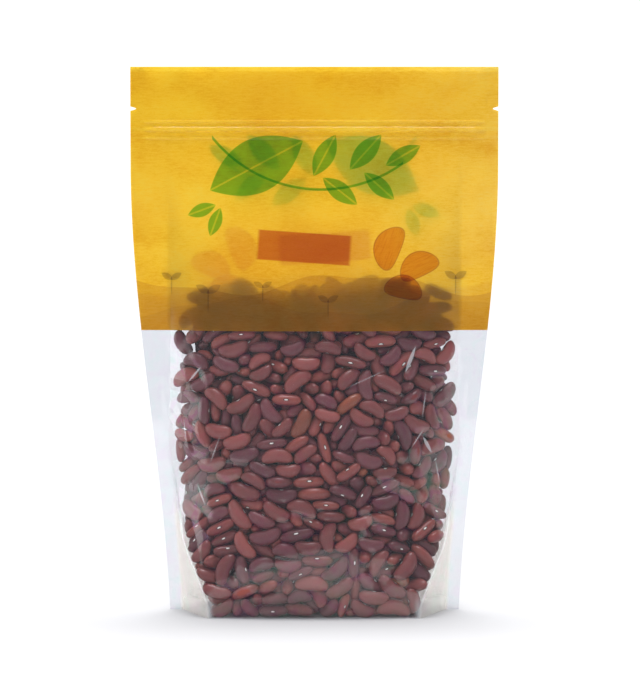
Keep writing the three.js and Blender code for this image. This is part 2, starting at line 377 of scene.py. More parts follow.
# Meshes
def new_object(name, points, faces, materials, smooth_faces=True):
    """A mesh piece from points in millimetres.

    Faces are an array of corner numbers, three or four to a row, or a list of such arrays.
    """
    groups = faces if isinstance(faces, list) else [faces]
    mesh = bpy.data.meshes.new(name)
    points = np.asarray(points, float) * MM
    mesh.vertices.add(len(points))
    mesh.vertices.foreach_set("co", points.astype(np.float32).ravel())
    corners = np.concatenate([np.asarray(g).ravel() for g in groups])
    sizes = np.concatenate([np.full(len(g), np.asarray(g).shape[1]) for g in groups])
    mesh.loops.add(len(corners))
    mesh.loops.foreach_set("vertex_index", corners.astype(np.int32))
    mesh.polygons.add(len(sizes))
    starts = np.concatenate([[0], np.cumsum(sizes)[:-1]])
    mesh.polygons.foreach_set("loop_start", starts.astype(np.int32))
    mesh.polygons.foreach_set("use_smooth", np.full(len(sizes), smooth_faces))
    mesh.update(calc_edges=True)
    mesh.validate()
    piece = bpy.data.objects.new(name, mesh)
    bpy.context.scene.collection.objects.link(piece)
    for material in materials:
        mesh.materials.append(material)
    return piece


def set_attribute(piece, name, kind, values):
    attribute = piece.data.attributes.new(name, kind, "POINT")
    key = "vector" if kind == "FLOAT_VECTOR" else "value"
    attribute.data.foreach_set(key, np.asarray(values, np.float32).ravel())


BEAN_ROUNDS = 10
BEAN_SIDES = 12
BEAN_BLUNTNESS = 0.86
# the dent where the scar sits: its depth, and its half length as a share of the bean's
DENT_DEPTH = 0.4
DENT_REACH = 0.3


def unit_bean():
    """Points and faces of a bean of unit size: shares of its half length, half thickness and half width."""
    points = [(-1.0, 0.0, 0.0)]
    for i in range(1, BEAN_ROUNDS):
        angle = math.pi * i / BEAN_ROUNDS
        along = -math.copysign(abs(math.cos(angle)) ** BEAN_BLUNTNESS, math.cos(angle))
        ring = math.sin(angle) ** BEAN_BLUNTNESS
        for j in range(BEAN_SIDES):
            turn = 2 * math.pi * j / BEAN_SIDES
            points.append((along, ring * math.cos(turn), ring * math.sin(turn)))
    points.append((1.0, 0.0, 0.0))
    last = len(points) - 1
    triangles, quads = [], []
    for j in range(BEAN_SIDES):
        k = (j + 1) % BEAN_SIDES
        triangles.append((0, 1 + k, 1 + j))
        for i in range(BEAN_ROUNDS - 2):
            a, b = 1 + i * BEAN_SIDES, 1 + (i + 1) * BEAN_SIDES
            quads.append((a + j, a + k, b + k, b + j))
        a = 1 + (BEAN_ROUNDS - 2) * BEAN_SIDES
        triangles.append((last, a + j, a + k))
    return np.array(points), np.array(triangles), np.array(quads)


def bean_points(share, size, stretch, most_bend):
    """The share points bent and sized into one bean, in millimetres."""
    along, thin, wide = share.T
    bend = most_bend * (1 - 2 * along * along)
    dent = DENT_DEPTH * np.exp(-(along / DENT_REACH) ** 2) * np.clip(-wide, 0, 1)
    x = along * BEAN_LENGTH / 2 * stretch
    y = thin * BEAN_THICKNESS / 2
    z = wide * BEAN_WIDTH / 2 + bend + dent
    return np.stack([x, y, z], 1) * size


def make_beans(name, chosen, packed, material):
    """One piece of joined beans, each with its own place, size and tone."""
    centres, frames, size, stretch = packed[:4]
    draw = np.random.default_rng(11)
    tone = draw.uniform(size=BEAN_COUNT)
    bend = BEAN_BEND + BEND_SPREAD * draw.uniform(-1, 1, BEAN_COUNT)
    share, triangles, quads = unit_bean()
    offset = ball_places()[0].mean(0)
    points, tris, four, seeds, tones = [], [], [], [], []
    for k, bean in enumerate(chosen):
        body = bean_points(share, size[bean], stretch[bean], bend[bean]) - offset * size[bean]
        points.append(body @ frames[bean].T + centres[bean])
        tris.append(triangles + k * len(share))
        four.append(quads + k * len(share))
        seeds.append(share)
        tones.append(np.full(len(share), tone[bean]))
    piece = new_object(name, np.concatenate(points), [np.concatenate(tris), np.concatenate(four)], [material])
    set_attribute(piece, "bean_place", "FLOAT_VECTOR", np.concatenate(seeds))
    set_attribute(piece, "bean_tone", "FLOAT", np.concatenate(tones))
    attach(piece, "root")
    print(name, "triangles", len(chosen) * (len(triangles) + 2 * len(quads)))


# Materials
class Graph:
    """The node tree of a material or a world, with short calls for the nodes used here."""

    def __init__(self, owner):
        owner.use_nodes = True
        self.owner = owner
        self.nodes = owner.node_tree.nodes
        self.links = owner.node_tree.links
        self.nodes.clear()

    def add(self, kind, **settings):
        node = self.nodes.new(kind)
        for key, value in settings.items():
            setattr(node, key, value)
        return node

    def feed(self, socket, value):
        if isinstance(value, bpy.types.NodeSocket):
            self.links.new(value, socket)
        elif isinstance(value, tuple) and socket.type == "RGBA":
            socket.default_value = (*value, 1.0)
        else:
            socket.default_value = value

    def math(self, operation, *values, clamp=False):
        node = self.add("ShaderNodeMath", operation=operation, use_clamp=clamp)
        for socket, value in zip(node.inputs, values):
            self.feed(socket, value)
        return node.outputs[0]

    def mix(self, factor, first, second, blend="MIX"):
        node = self.add("ShaderNodeMix", data_type="RGBA", blend_type=blend)
        for index, value in ((0, factor), (6, first), (7, second)):
            self.feed(node.inputs[index], value)
        return node.outputs[2]

    def mapping(self, vector, location=(0, 0, 0), rotation=0.0, scale=(1, 1, 1), kind="TEXTURE"):
        node = self.add("ShaderNodeMapping", vector_type=kind)
        self.feed(node.inputs["Vector"], vector)
        node.inputs["Location"].default_value = location
        node.inputs["Rotation"].default_value = (0, 0, rotation)
        node.inputs["Scale"].default_value = scale
        return node.outputs[0]

    def noise(self, vector, scale, detail=3.0, roughness=0.55, distortion=0.0):
        node = self.add("ShaderNodeTexNoise")
        self.feed(node.inputs["Vector"], vector)
        node.inputs["Scale"].default_value = scale
        node.inputs["Detail"].default_value = detail
        node.inputs["Roughness"].default_value = roughness
        node.inputs["Distortion"].default_value = distortion
        return node.outputs["Fac"]

    def ramp(self, value, stops):
        node = self.add("ShaderNodeValToRGB")
        elements = node.color_ramp.elements
        while len(elements) < len(stops):
            elements.new(0.5)
        for element, (position, colour) in zip(elements, stops):
            element.position = position
            element.color = (*colour, 1.0)
        self.feed(node.inputs[0], value)
        return node.outputs[0]

    def attribute(self, name):
        return self.add("ShaderNodeAttribute", attribute_name=name)

    def split(self, vector):
        node = self.add("ShaderNodeSeparateXYZ")
        self.feed(node.inputs[0], vector)
        return node.outputs

    def bump(self, height, strength, distance):
        node = self.add("ShaderNodeBump")
        node.inputs["Strength"].default_value = strength
        node.inputs["Distance"].default_value = distance
        self.feed(node.inputs["Height"], height)
        return node.outputs[0]

    def shader(self, kind, **inputs):
        node = self.add(kind)
        for key, value in inputs.items():
            self.feed(node.inputs[key.replace("_", " ")], value)
        return node.outputs[0]

    def blend(self, factor, first, second):
        node = self.add("ShaderNodeMixShader")
        self.feed(node.inputs[0], factor)
        self.links.new(first, node.inputs[1])
        self.links.new(second, node.inputs[2])
        return node.outputs[0]

    def finish(self, surface, output="ShaderNodeOutputMaterial"):
        self.links.new(surface, self.add(output).inputs["Surface"])
        return self.owner


def material_graph(name):
    return Graph(bpy.data.materials.new(name))


# the pale scar's half length and half width, as shares of the bean's half length and half thickness
SCAR_SIZE = (0.125, 0.12)
# its dark rim ends at this squared distance, where the scar ends at 1
SCAR_RIM = 2.6
SCAR_COLOUR = (0.82, 0.78, 0.72)
SCAR_RIM_COLOUR = (0.04, 0.014, 0.013)
# painted shade: the tint that makes the coat browner and darker round a bean's edge
PAINTED_RIM_SHADE_TINT = (0.95, 0.8, 0.62)


def bean_material(name, deep, light):
    """A satin coat between a deep and a light colour, with the pale scar where the bean is dented."""
    g = material_graph(name)
    place = g.split(g.attribute("bean_place").outputs["Vector"])
    tone = g.attribute("bean_tone").outputs["Fac"]
    where = g.add("ShaderNodeTexCoord").outputs["Object"]
    mottle = g.noise(where, 420.0, 4.0)
    patch = g.noise(where, 60.0, 2.0)
    level = g.math("MULTIPLY_ADD", mottle, 0.45, g.math("MULTIPLY_ADD", patch, 0.35, -0.25))
    level = g.math("MULTIPLY_ADD", tone, 0.75, level, clamp=True)
    # the coat is browner and darker round the edge as painted shade, and lighter on the two flat sides as a
    # painted sheen
    flat = g.math("MULTIPLY", g.math("ABSOLUTE", place["Y"]), 1.25, clamp=True)
    edge = g.mix(1.0, light, PAINTED_RIM_SHADE_TINT, "MULTIPLY")
    coat = g.mix(level, deep, g.mix(flat, edge, light))
    # the pale scar is an ellipse in the middle of the dented edge, with a dark rim
    along = g.math("DIVIDE", place["X"], SCAR_SIZE[0])
    across = g.math("DIVIDE", place["Y"], SCAR_SIZE[1])
    distance = g.math("MULTIPLY_ADD", along, along, g.math("MULTIPLY", across, across))
    dented = g.math("LESS_THAN", place["Z"], 0.0)
    rim = g.math("MULTIPLY", g.math("LESS_THAN", distance, SCAR_RIM), dented)
    scar = g.math("MULTIPLY", g.math("LESS_THAN", distance, 1.0), dented)
    colour = g.mix(scar, g.mix(rim, coat, SCAR_RIM_COLOUR), SCAR_COLOUR)
    return g.finish(g.shader(
        "ShaderNodeBsdfPrincipled", Base_Color=colour,
        Roughness=g.math("MULTIPLY_ADD", mottle, 0.2, 0.27),
        Normal=g.bump(mottle, 0.1, 0.0002)))


# the width of a printed shape's soft edge, and half the width of a leaf's rib
EDGE = 0.35
RIB = 0.5


def leaf_mask(g, place, leaf):
    """Masks of a shape pointed at both ends, and of the rib along its middle."""
    x, y, length, width, angle = leaf
    local = g.split(g.mapping(place, (x, y, 0), math.radians(angle), (length, width, 1)))
    outline = g.math("SUBTRACT", 1.0, g.math("MULTIPLY", local["X"], local["X"]))
    inside = g.math("SUBTRACT", outline, g.math("ABSOLUTE", local["Y"]))
    mask = g.math("MULTIPLY", inside, width / EDGE, clamp=True)
    rib = g.math("LESS_THAN", g.math("ABSOLUTE", local["Y"]), RIB / width)
    return mask, g.math("MULTIPLY", rib, mask)


FILM_IOR = 1.48
PRINT_IOR = 1.45
GREATEST_GLOSS = 0.14
# fine creases that scatter light: centre x, centre y, half length, half width, angle in degrees
CREASE_LINES = (
    (64, 123, 10, 0.45, 82), (56, 149, 9, 1.3, 68), (60, 103, 8, 0.5, 55), (-58, 96, 12, 0.4, 70),
    (30, 138, 16, 0.35, 24), (-70, 140, 7, 0.8, 50), (72, 84, 9, 0.5, 100),
    (-76, 108, 8, 0.5, 96), (66, 99, 6, 1.2, 118), (-66, 70, 8, 0.6, 112),
)
FLAP_TINT = (0.98, 0.96, 0.925)
FLAP_VEIL_TINT = (0.95, 0.93, 0.87)
FLAP_HAZE = 0.16
WELD_HAZE = 0.3


def double_fresnel(g, ior):
    """The share reflected by both faces of a thin sheet."""
    node = g.add("ShaderNodeFresnel")
    node.inputs["IOR"].default_value = ior
    once = node.outputs[0]
    passed = g.math("SUBTRACT", 1.0, once)
    both = g.math("SUBTRACT", 1.0, g.math("MULTIPLY", passed, passed))
    return g.math("MINIMUM", both, GREATEST_GLOSS)


def film_material(name, tint, veil_tint, haze, marked=False):
    """Clear film: light passes straight on, with a faintly tinged gloss and a thin haze.

    A marked sheet is creamier on the flaps and hazier on the welds, which two attributes of the sheet give.
    """
    g = material_graph(name)
    where = g.add("ShaderNodeTexCoord").outputs["Object"]
    tinge = g.ramp(g.noise(where, 75.0, 2.0, 0.5, 2.0), [
        (0.36, (0.6, 1.0, 0.84)), (0.45, (0.95, 0.96, 1.0)),
        (0.55, (1.0, 0.96, 0.92)), (0.64, (1.0, 0.64, 0.94))])
    cover = g.math("MULTIPLY", g.noise(where, 20.0, 2.0), 2 * haze)
    if marked:
        flap = g.attribute("on_flap").outputs["Fac"]
        tint = g.mix(flap, tint, FLAP_TINT)
        veil_tint = g.mix(flap, veil_tint, FLAP_VEIL_TINT)
        cover = g.math("MULTIPLY_ADD", flap, FLAP_HAZE, cover)
        cover = g.math("MULTIPLY_ADD", g.attribute("on_weld").outputs["Fac"], WELD_HAZE, cover)
        sheet = g.attribute("print_place").outputs["Vector"]
        for line in CREASE_LINES:
            cover = g.math("MULTIPLY_ADD", leaf_mask(g, sheet, line)[0], WELD_HAZE, cover)
    clear = g.shader("ShaderNodeBsdfTransparent", Color=tint)
    veil = g.shader("ShaderNodeBsdfDiffuse", Color=veil_tint)
    gloss = g.shader("ShaderNodeBsdfGlossy", Color=tinge, Roughness=0.04)
    body = g.blend(cover, clear, veil)
    return g.finish(g.blend(double_fresnel(g, FILM_IOR), body, gloss))


# The print. Places are millimetres on the sheet: X to the right as seen from its own side, Y up.
# Each ink multiplies the colour under it.
GREEN_INK = (0.27, 0.68, 0.14)
LIGHT_GREEN_INK = (0.55, 0.86, 0.3)
BROWN_INK = (0.85, 0.77, 0.76)
NEAR_BROWN_INK = (0.92, 0.89, 0.9)
DEEP_BROWN_INK = (0.35, 0.3, 0.5)
LABEL_INK = (0.68, 0.33, 0.3)
ORANGE_INK = (0.8, 0.49, 0.14)
RIM_INK = (0.6, 0.33, 0.2)
STROKE_INK = (0.9, 0.72, 0.6)

# centre x, centre y, half length, half width, angle in degrees
LEAVES = (
    (-34, 262, 31, 16, 28), (6, 268, 14, 6, 62), (15, 247, 13, 5.5, -38), (30, 270, 14, 6, 48),
    (38, 250, 12, 5, -42), (52, 268, 12, 5, 30), (-66, 236, 9, 4, 200), (-58, 229, 9, 4, 250),
)
PRINTED_BEANS = ((44, 214, 13, 7.5, 68), (61, 203, 12, 7, 25), (52, 190, 11, 6.5, -12))
# x and y low on the stem, and size
SPROUTS = ((-84, 190, 0.9), (-62, 181, 1.1), (-30, 186, 0.8), (83, 190, 1.0), (8, 177, 0.9))


def bean_mask(g, place, shape, grow=0.0):
    """A mask of a printed bean, an ellipse bent along its length."""
    x, y, length, width, angle = shape
    local = g.split(g.mapping(place, (x, y, 0), math.radians(angle), (length + grow, width + grow, 1)))
    square = g.math("MULTIPLY", local["X"], local["X"])
    bent = g.math("MULTIPLY_ADD", square, 0.42, g.math("SUBTRACT", local["Y"], 0.18))
    distance = g.math("MULTIPLY_ADD", bent, bent, square)
    return g.math("MULTIPLY", g.math("SUBTRACT", 1.0, distance), width / EDGE / 2, clamp=True)


def below_wave(g, place, base, swings):
    """A mask under a wavy line: each swing is a height, a wavelength and a phase."""
    line = base
    for height, wavelength, phase in swings:
        turn = g.math("MULTIPLY_ADD", place["X"], 2 * math.pi / wavelength, phase)
        line = g.math("MULTIPLY_ADD", g.math("SINE", turn), height, line)
    return g.math("MULTIPLY", g.math("SUBTRACT", line, place["Y"]), 1 / EDGE, clamp=True)


def print_material():
    """Yellow translucent film like coarse paper, with a sprig, beans and wavy ground in flat inks."""
    g = material_graph("printed_film")
    sheet = g.attribute("print_place").outputs["Vector"]
    place = g.split(sheet)
    fibre = g.noise(g.mapping(sheet, scale=(0.2, 0.95, 1), kind="POINT"), 1.0, 4.0, 0.7)
    grain = g.noise(g.mapping(sheet, scale=(0.9, 1.6, 1), kind="POINT"), 1.0, 3.0, 0.7)
    cloud = g.noise(g.mapping(sheet, scale=(0.02, 0.035, 1), kind="POINT"), 1.0, 4.0, 0.6, 0.4)
    coarse = g.math("MULTIPLY_ADD", grain, 0.25, g.math("MULTIPLY", cloud, 0.5))
    level = g.math("MULTIPLY_ADD", fibre, 0.45, coarse)
    ink = g.ramp(level, [
        (0.48, (0.9, 0.78, 0.45)), (0.57, (0.96, 0.93, 0.8)),
        (0.63, (1.0, 1.0, 1.1)), (0.74, (1.0, 1.07, 1.6))])

    def lay(colour, mask):
        nonlocal ink
        ink = g.mix(mask, ink, g.mix(1.0, ink, colour, "MULTIPLY"))

    def lay_share(colour, mask, share):
        lay(colour, g.math("MULTIPLY", mask, share))

    far = below_wave(g, place, 193.0, ((5.5, 150.0, 0.6), (2.0, 61.0, 2.0)))
    near = below_wave(g, place, 180.0, ((5.0, 118.0, 3.9), (1.6, 47.0, 0.0)))
    # the yellow is deeper towards the top; on one side, higher up, it is paler with a painted reflection
    lay((0.95, 0.92, 0.6), g.math("MULTIPLY_ADD", place["Y"], 0.015, -3.6, clamp=True))
    painted_reflection_side = g.math("MULTIPLY_ADD", place["X"], 0.01, -0.1, clamp=True)
    raised = g.math("MULTIPLY_ADD", place["Y"], 0.02, -3.4, clamp=True)
    lay((1.0, 1.06, 2.7), g.math("MULTIPLY", painted_reflection_side, raised))
    lay(BROWN_INK, far)
    lay(NEAR_BROWN_INK, near)
    for x, y, size in SPROUTS:
        for turn in (50, 130):
            reach = 4.5 * size
            place_x = x + reach * math.cos(math.radians(turn))
            lean = turn - 20 * math.copysign(1, 90 - turn)
            mask, _ = leaf_mask(g, sheet, (place_x, y + 8 * size, reach, 2.2 * size, lean))
            lay_share(DEEP_BROWN_INK, mask, 0.45)
        stem, _ = leaf_mask(g, sheet, (x, y + 2 * size, 7.5 * size, 0.6, 90))
        lay_share(DEEP_BROWN_INK, stem, 0.45)
    # the sprig's stem is the lower part of a ring
    ring_x, ring_y = g.split(g.mapping(sheet, (4, 330, 0)))[:2]
    reach_squared = g.math("MULTIPLY_ADD", ring_x, ring_x, g.math("MULTIPLY", ring_y, ring_y))
    off_ring = g.math("ABSOLUTE", g.math("SUBTRACT", g.math("SQRT", reach_squared), 82.0))
    span = g.math("LESS_THAN", g.math("ABSOLUTE", g.math("ADD", place["X"], 4.0)), 56.0)
    lower = g.math("LESS_THAN", ring_y, 0.0)
    stem = g.math("MULTIPLY", g.math("SUBTRACT", 0.9, off_ring), 1 / EDGE, clamp=True)
    lay(GREEN_INK, g.math("MULTIPLY", g.math("MULTIPLY", stem, span), lower))
    for leaf in LEAVES:
        mask, rib = leaf_mask(g, sheet, leaf)
        lay(GREEN_INK, g.math("SUBTRACT", mask, rib))
        lay(LIGHT_GREEN_INK, rib)
    for shape in PRINTED_BEANS:
        inside = bean_mask(g, sheet, shape)
        lay(RIM_INK, g.math("SUBTRACT", bean_mask(g, sheet, shape, 0.7), inside))
        lay(ORANGE_INK, inside)
        lengthways = g.mapping(sheet, (0, 0, 0), math.radians(shape[4]), (9, 0.9, 1))
        stroke = g.math("MULTIPLY_ADD", g.noise(lengthways, 1.0, 2.0), 5.0, -2.4, clamp=True)
        lay(STROKE_INK, g.math("MULTIPLY", stroke, inside))
    x, y = g.split(g.mapping(sheet, (-6, 214, 0), math.radians(-4), (28, 9, 1)))[:2]
    square = g.math("MAXIMUM", g.math("ABSOLUTE", x), g.math("ABSOLUTE", y))
    plate = g.math("MULTIPLY", g.math("SUBTRACT", 1.0, square), 14.0, clamp=True)
    lay(LABEL_INK, plate)
    lay(STROKE_INK, g.math("MULTIPLY", g.math("MULTIPLY_ADD", fibre, 5.0, -2.6, clamp=True), plate))
    # the top edge's narrow seal is paler
    strip = g.math("GREATER_THAN", place["Y"], POUCH_HEIGHT - TOP_SEAL)
    ink = g.mix(g.math("MULTIPLY", strip, 0.6), ink, g.mix(1.0, ink, (1.05, 1.15, 1.8), "MULTIPLY"))

    # the zip's ridges catch the light unevenly along their length
    streak = g.noise(g.mapping(sheet, scale=(0.03, 0.9, 1), kind="POINT"), 1.0, 3.0, 0.6)
    for height, radius in zip(ZIP_HEIGHTS, ZIP_RIDGE_RADII):
        off = g.math("ABSOLUTE", g.math("SUBTRACT", place["Y"], height))
        ridge = g.math("MULTIPLY", g.math("SUBTRACT", radius, off), 1.2, clamp=True)
        lay_share((1.0, 1.1, 1.6), ridge, g.math("MULTIPLY_ADD", streak, 3.0, -1.1, clamp=True))

    tint = g.mix(1.0, ink, (1.0, 0.77, 0.083), "MULTIPLY")
    clear = g.shader("ShaderNodeBsdfTransparent", Color=tint)
    soft = g.shader("ShaderNodeBsdfTranslucent", Color=tint)
    solid = g.shader("ShaderNodeBsdfDiffuse", Color=g.mix(1.0, ink, (0.88, 0.52, 0.08), "MULTIPLY"))
    body = g.blend(0.15, g.blend(0.76, clear, soft), solid)
    gloss = g.shader("ShaderNodeBsdfGlossy", Roughness=0.22, Normal=g.bump(fibre, 0.1, 0.0002))
    fresnel = g.add("ShaderNodeFresnel")
    fresnel.inputs["IOR"].default_value = PRINT_IOR
    return g.finish(g.blend(fresnel.outputs[0], body, gloss))


# Film. It sinks a little between the beans, by SINK where it stands off them by SINK_REACH or more.
GRID_X = np.arange(-112.0, 113.0)
GRID_Z = np.arange(0.0, 221.0)
SINK = 0.3
SINK_REACH = 3.0
# real beans stand a little proud of the balls that they were packed as
BALL_MARGIN = 0.45
WELD_WIDTH = 1.2
SEAL_FILM_DEPTH = 0.12
SWELL = 0.1
FOOT_SWELL = 0.12
FLANK_WAVES = 0.16
ZIP_RIDGE_SHARE = 0.8
GUSSET_SEAM = 0.35
SEAL_EDGE_DIP = 0.1


def bean_gaps(place, radii, side):
    """On a 1 mm grid, how far the film's form stands off the beans of one side."""
    radii = radii + BALL_MARGIN
    film = film_depth(np.abs(GRID_X)[None, :], GRID_Z[:, None])
    surface = np.full(film.shape, -100.0)
    chosen = (place[:, 1] * side > 0) & (place[:, 2] < GRID_Z[-1] + 3)
    for (x, y, z), r in zip(place[chosen], radii[chosen]):
        i0, i1 = np.searchsorted(GRID_X, (x - r, x + r))
        k0, k1 = np.searchsorted(GRID_Z, (z - r, z + r))
        under = r * r - (GRID_X[None, i0:i1] - x) ** 2 - (GRID_Z[k0:k1, None] - z) ** 2
        top = y * side + np.sqrt(np.maximum(under, 0))
        window = surface[k0:k1, i0:i1]
        surface[k0:k1, i0:i1] = np.where(under > 0, np.maximum(window, top), window)
    gap = np.clip(film - surface, -SINK_REACH, SINK_REACH)
    for _ in range(2):
        wide = np.pad(gap, 1, mode="edge")
        gap = sum(wide[a:a + gap.shape[0], b:b + gap.shape[1]] for a in range(3) for b in range(3)) / 9
    return gap


def on_grid(table, x, z):
    u = np.clip(x - GRID_X[0], 0, len(GRID_X) - 1.001)
    w = np.clip(z - GRID_Z[0], 0, len(GRID_Z) - 1.001)
    i, k = u.astype(int), w.astype(int)
    fu, fw = u - i, w - k
    low_row = table[k, i] * (1 - fu) + table[k, i + 1] * fu
    return low_row * (1 - fw) + (table[k + 1, i] * (1 - fu) + table[k + 1, i + 1] * fu) * fw


def waves(x, z, seed, count, shortest, longest):
    """A smooth seeded undulation between about -1 and 1."""
    draw = np.random.default_rng(seed)
    total = np.zeros(np.broadcast(x, z).shape)
    for _ in range(count):
        length = draw.uniform(shortest, longest)
        turn = draw.uniform(0, 2 * math.pi)
        phase = draw.uniform(0, 2 * math.pi)
        total += np.sin(2 * math.pi * (x * math.cos(turn) + z * math.sin(turn)) / length + phase)
    return total / count ** 0.5


# Creases of the film: from x, z to x, z, half width and depth. A negative depth stands proud.
FRONT_CREASES = (
    (-56, 32, -34, 34, 16, -1.1), (-30, 36, 12, 41, 16, -0.9), (12, 41, 26, 36, 14, -0.7),
    (40, 36, 62, 46, 14, -0.8), (-56, 13, -24, 17, 3.5, 1.1), (-46, 46, -36, 34, 5, 0.9),
    (28, 44, 38, 22, 6, 1.0), (30, 64, 40, 56, 6, -0.9), (44, 82, 66, 70, 8, -1.1),
    (-68, 54, -56, 44, 6, -0.9), (38, 134, 60, 120, 3, 0.5), (66, 70, 80, 24, 3.5, -0.9),
    (-76, 90, -66, 20, 4, 0.8), (-80, 130, -70, 96, 4, 0.8), (-84, 112, -72, 60, 3, -0.7),
    (60, 92, 74, 60, 5, 0.5), (56, 140, 60, 104, 2, 0.4), (-74, 150, -64, 132, 5, 0.6),
    (70, 130, 80, 100, 4, 0.5),
)
BACK_CREASES = (
    (-40, 40, -10, 20, 6, 0.9), (20, 52, 56, 10, 7, 1.0), (-60, 70, -50, 24, 6, 0.7),
    (0, 76, 26, 66, 6, -0.7),
)


def crease(x, z, line):
    """The relief of one straight fold, deepest on its line."""
    x0, z0, x1, z1, width, depth = line
    span = math.hypot(x1 - x0, z1 - z0)
    ux, uz = (x1 - x0) / span, (z1 - z0) / span
    s = np.clip(((x - x0) * ux + (z - z0) * uz) / span, 0, 1)
    off = np.hypot(x - x0 - s * span * ux, z - z0 - s * span * uz)
    return depth * np.maximum(0, 1 - off / width)


def film_relief(x, z, side, gaps):
    """How far the film lies inside its even form."""
    inner = half_width(z) - SEAL_WIDTH
    inside = smooth((inner - np.abs(x)) / 8)
    low_part = smooth(z / 6) * (1 - smooth((z - 170) / 30))
    gap = on_grid(gaps, x, z)
    relief = SINK * np.maximum(gap, 0) / SINK_REACH * low_part
    for line in FRONT_CREASES if side < 0 else BACK_CREASES:
        relief = relief + crease(x, z, line)
    foot = 1 - smooth((z - 40) / 60)
    swell = waves(x, z, 21 if side < 0 else 22, 7, 40, 95)
    relief = relief + swell * (SWELL + FOOT_SWELL * foot) * smooth(z / 10)
    flank = smooth((np.abs(x) / gusset_seal(z) - 0.6) / 0.2) * smooth(z / 20)
    relief = relief + FLANK_WAVES * flank * waves(x, z, 23 if side < 0 else 24, 6, 14, 30)
    relief = relief * inside
    relief = np.where(z < GRID_Z[-1] - 2, np.minimum(relief, gap), relief)
    for height, radius in zip(ZIP_HEIGHTS, ZIP_RIDGE_RADII):
        crushed = smooth((inner - np.abs(x)) / 6)
        rib = np.maximum(0, 1 - ((z - height) / radius) ** 2) ** 0.5
        relief = relief - radius * ZIP_RIDGE_SHARE * rib * crushed
    seal = smooth((np.abs(x) - inner + 1.5) / 1.5)
    weld_line = np.exp(-((np.abs(x) - inner - 0.8) / 0.5) ** 2)
    gusset_line = np.exp(-((np.abs(x) - gusset_seal(z)) / 1.2) ** 2) * (1 - smooth((z - 80) / 15))
    pressed = seal * (SEAL_THICKNESS / 2 - SEAL_FILM_DEPTH) + SEAL_EDGE_DIP * weld_line
    return relief + pressed - GUSSET_SEAM * gusset_line


def edge_place(z):
    """From the middle to the film's edge, with the tear notches cut in."""
    notch = np.clip(1.25 * (1 - np.abs(z - NOTCH_HEIGHT) / (NOTCH_OPENING / 2)), 0, 1)
    return half_width(z) - NOTCH_DEPTH * notch


def spaced(bottom, top, pitch):
    return np.linspace(bottom, top, int(round((top - bottom) / pitch)) + 1)


def column_places(z, columns):
    """X of each column at a height: the side seals, the corner flaps and the belly."""
    edge = edge_place(z)
    inner = half_width(z) - SEAL_WIDTH
    belly = min(float(gusset_seal(z)), inner - LEAST_FLAP)
    beside_weld = [belly + min(WELD_WIDTH, (inner - belly) / 8)]
    flap, seal = np.linspace(belly, inner, 5)[1:], np.linspace(inner, edge, 5)[1:]
    right = np.concatenate([beside_weld, flap, seal])
    return np.concatenate([-right[::-1], np.linspace(-belly, belly, columns), right])


# the fold along the bottom scatters light up to this height, by a share of what a weld does
FOLD_HEIGHT = 0.6
FOLD_HAZE = 0.7


def film_sheet(name, rows, columns, material, gaps):
    """Front and back film between two heights, which meet along the side edges."""
    points, marks = [], []
    for z in rows:
        across = column_places(z, columns)
        for side in (-1, 1):
            x = across if side < 0 else across[::-1]
            depth = film_depth(np.abs(x), z) - film_relief(x, np.full_like(x, z), side, gaps[side])
            points.append(np.stack([x, side * depth, np.full_like(x, z)], 1))
            marks.append(np.stack([-side * x, np.full_like(x, z), np.full_like(x, side)], 1))
    points, marks = np.concatenate(points), np.concatenate(marks)
    x, z = np.abs(points[:, 0]), points[:, 2]
    seal = gusset_seal(z)
    on_flap = smooth((x - seal) / 3 + 0.5) * (1 - smooth((x - half_width(z) + SEAL_WIDTH) / 2))
    on_flap *= 1 - smooth((z - 50) / 20)
    on_weld = (np.abs(x - seal) < WELD_WIDTH / 2) * (1 - smooth((z - 70) / 20))
    foot_corner = smooth((x - 57) / 4) * (1 - smooth((x - 70) / 14)) * (1 - smooth((z - 4) / 12))
    on_weld = np.maximum(np.maximum(on_weld, foot_corner), FOLD_HAZE * (z < FOLD_HEIGHT))
    count = len(points) // len(rows)
    a = np.delete(np.arange(count - 1), count // 2 - 1)
    first = np.arange(len(rows) - 1)[:, None] * count
    faces = np.stack([a + first, a + 1 + first, a + 1 + first + count, a + first + count], -1).reshape(-1, 4)
    piece = new_object(name, points, faces, [material])
    set_attribute(piece, "print_place", "FLOAT_VECTOR", marks)
    set_attribute(piece, "on_flap", "FLOAT", on_flap)
    set_attribute(piece, "on_weld", "FLOAT", on_weld)
    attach(piece, "root")
    print(name, "triangles", 2 * len(faces))
    return piece


def grid_faces(rows, columns):
    a = np.arange(rows - 1)[:, None] * columns + np.arange(columns - 1)[None, :]
    return np.stack([a, a + 1, a + columns + 1, a + columns], -1).reshape(-1, 4)


GUSSET_COLUMNS = 25
GUSSET_BOTTOM = 0.5
GUSSET_TOP = 78.0
GUSSET_FLOOR = 58.0
GUSSET_SEAL_GAP = 0.3
GUSSET_FILM_GAP = 0.4


def make_gusset(material):
    """The foot's film: a floor that turns up into walls between the curved seals."""
    heights = spaced(GUSSET_BOTTOM, GUSSET_TOP, 1.5)
    walls = np.stack([gusset_seal(heights) - GUSSET_SEAL_GAP, heights], 1)
    floor_x = spaced(-GUSSET_FLOOR, GUSSET_FLOOR, 3)
    floor = np.stack([floor_x, np.full_like(floor_x, GUSSET_BOTTOM)], 1)
    path = np.concatenate([walls[::-1] * (-1, 1), floor, walls])
    shares = np.linspace(-1, 1, GUSSET_COLUMNS)
    points = []
    for x, z in path:
        y = shares * (film_depth(abs(x), z) - GUSSET_FILM_GAP)
        points.append(np.stack([np.full_like(y, x), y, np.full_like(y, z)], 1))
    faces = grid_faces(len(path), GUSSET_COLUMNS)
    piece = new_object("gusset_film", np.concatenate(points), faces, [material])
    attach(piece, "root")


# a sheet of painted shade inside the heap, in place of the hidden beans
CORE_INSET = 18.0
CORE_BOTTOM = 6.0
CORE_TOP = 170.0
CORE_COLUMNS = 21
